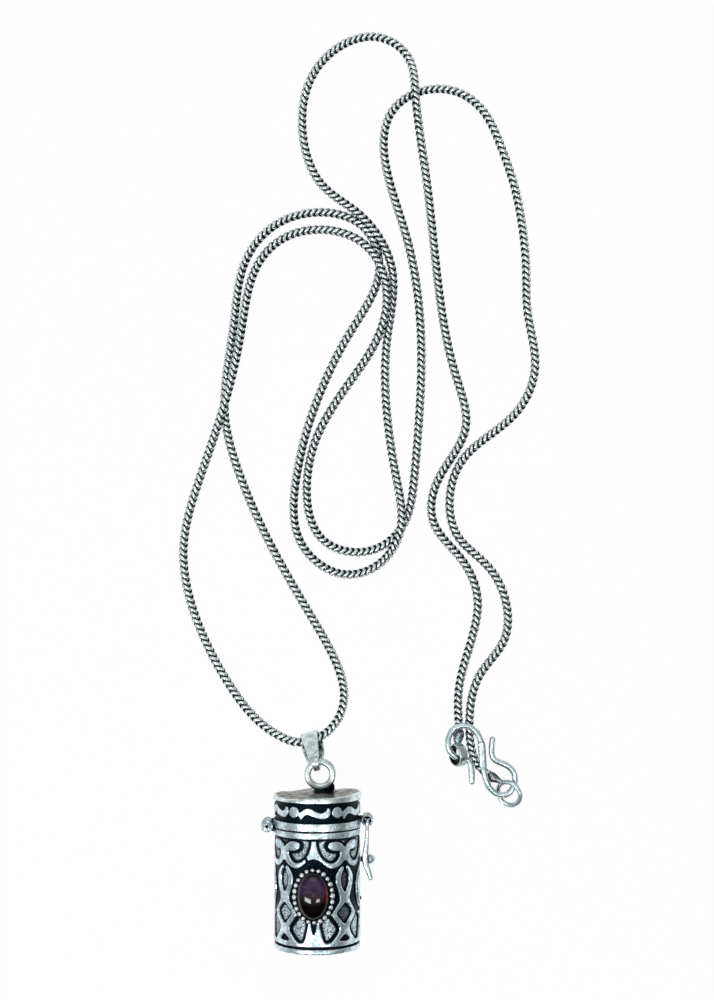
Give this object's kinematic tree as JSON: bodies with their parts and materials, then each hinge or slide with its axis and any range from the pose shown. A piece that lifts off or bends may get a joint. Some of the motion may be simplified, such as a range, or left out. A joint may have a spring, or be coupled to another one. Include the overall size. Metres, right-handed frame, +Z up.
{
  "type": "amulet locket necklace",
  "caption": "Cylindrical hinged locket with openwork case and garnet cabochon, hung by ring and bail on a long snake chain with an S-hook clasp.",
  "frame": {"origin": "on the table under the middle of the locket with its bail, without the chain", "axes": "+Z up from the table, +Y along the locket from its base to its lid and bail, +X to the right of the picture, towards the latch"},
  "size_m": [0.0646, 0.1625, 0.0174],
  "materials": {
    "silver": "worn polish",
    "worn_silver": "dulled by wear",
    "oxidised_silver": "blackened",
    "chain_silver": "satin, blackened between the bars",
    "garnet": "polished"
  },
  "bodies": {
    "chain": {"chain_left": "chain_silver", "chain_right": "chain_silver", "end_cap_left": "silver", "end_cap_right": "silver", "band_ring": "silver", "wire_ring": "silver"},
    "hook": {"s_hook": "silver"},
    "bail_strap": {"bail": "silver"},
    "lid": {"lid_top": "silver", "lid_wall": "oxidised_silver", "lid_band": "silver", "hanging_ring": "silver", "ring_seat": "oxidised_silver", "lid_knuckle": "worn_silver", "latch_knuckle": "worn_silver"},
    "case": {"case_base": "silver", "case_wall": "oxidised_silver", "case_openwork": "silver", "case_top_band": "silver", "inner_collar": "worn_silver", "stone_plate": "oxidised_silver", "bezel_cup": "worn_silver", "beaded_rim": "silver", "garnet_cabochon": "garnet", "case_knuckle_front": "worn_silver", "case_knuckle_back": "worn_silver", "hinge_pin": "silver", "latch_knob": "silver"},
    "latch": {"latch_wire": "silver"}
  },
  "joints": [
    {"name": "chain_to_bail", "type": "hinge", "parent": "chain", "child": "bail_strap", "pos_m": [-0.00136, 0.01705, 0.00162], "axis": [-0.969, -0.247, 0], "range_deg": [0, 60]},
    {"name": "ring_in_bail", "type": "hinge", "parent": "bail_strap", "child": "lid", "pos_m": [-0.00051, 0.01364, 0.0077], "axis": [-1, 0, 0], "range_deg": [0, 50]},
    {"name": "locket_hinge", "type": "hinge", "parent": "lid", "child": "case", "pos_m": [-0.00896, 0.0027, 0.0077], "axis": [0, 0, -1], "range_deg": [0, 120]},
    {"name": "latch_swing", "type": "hinge", "parent": "lid", "child": "latch", "pos_m": [0.00864, 0.00365, 0.0077], "axis": [0, 0, 1], "range_deg": [0, 110]},
    {"name": "hook_play", "type": "hinge", "parent": "chain", "child": "hook", "pos_m": [0.02492, 0.0143, 0.0022], "axis": [0, 0, 1], "range_deg": [-5, 2]}
  ]
}
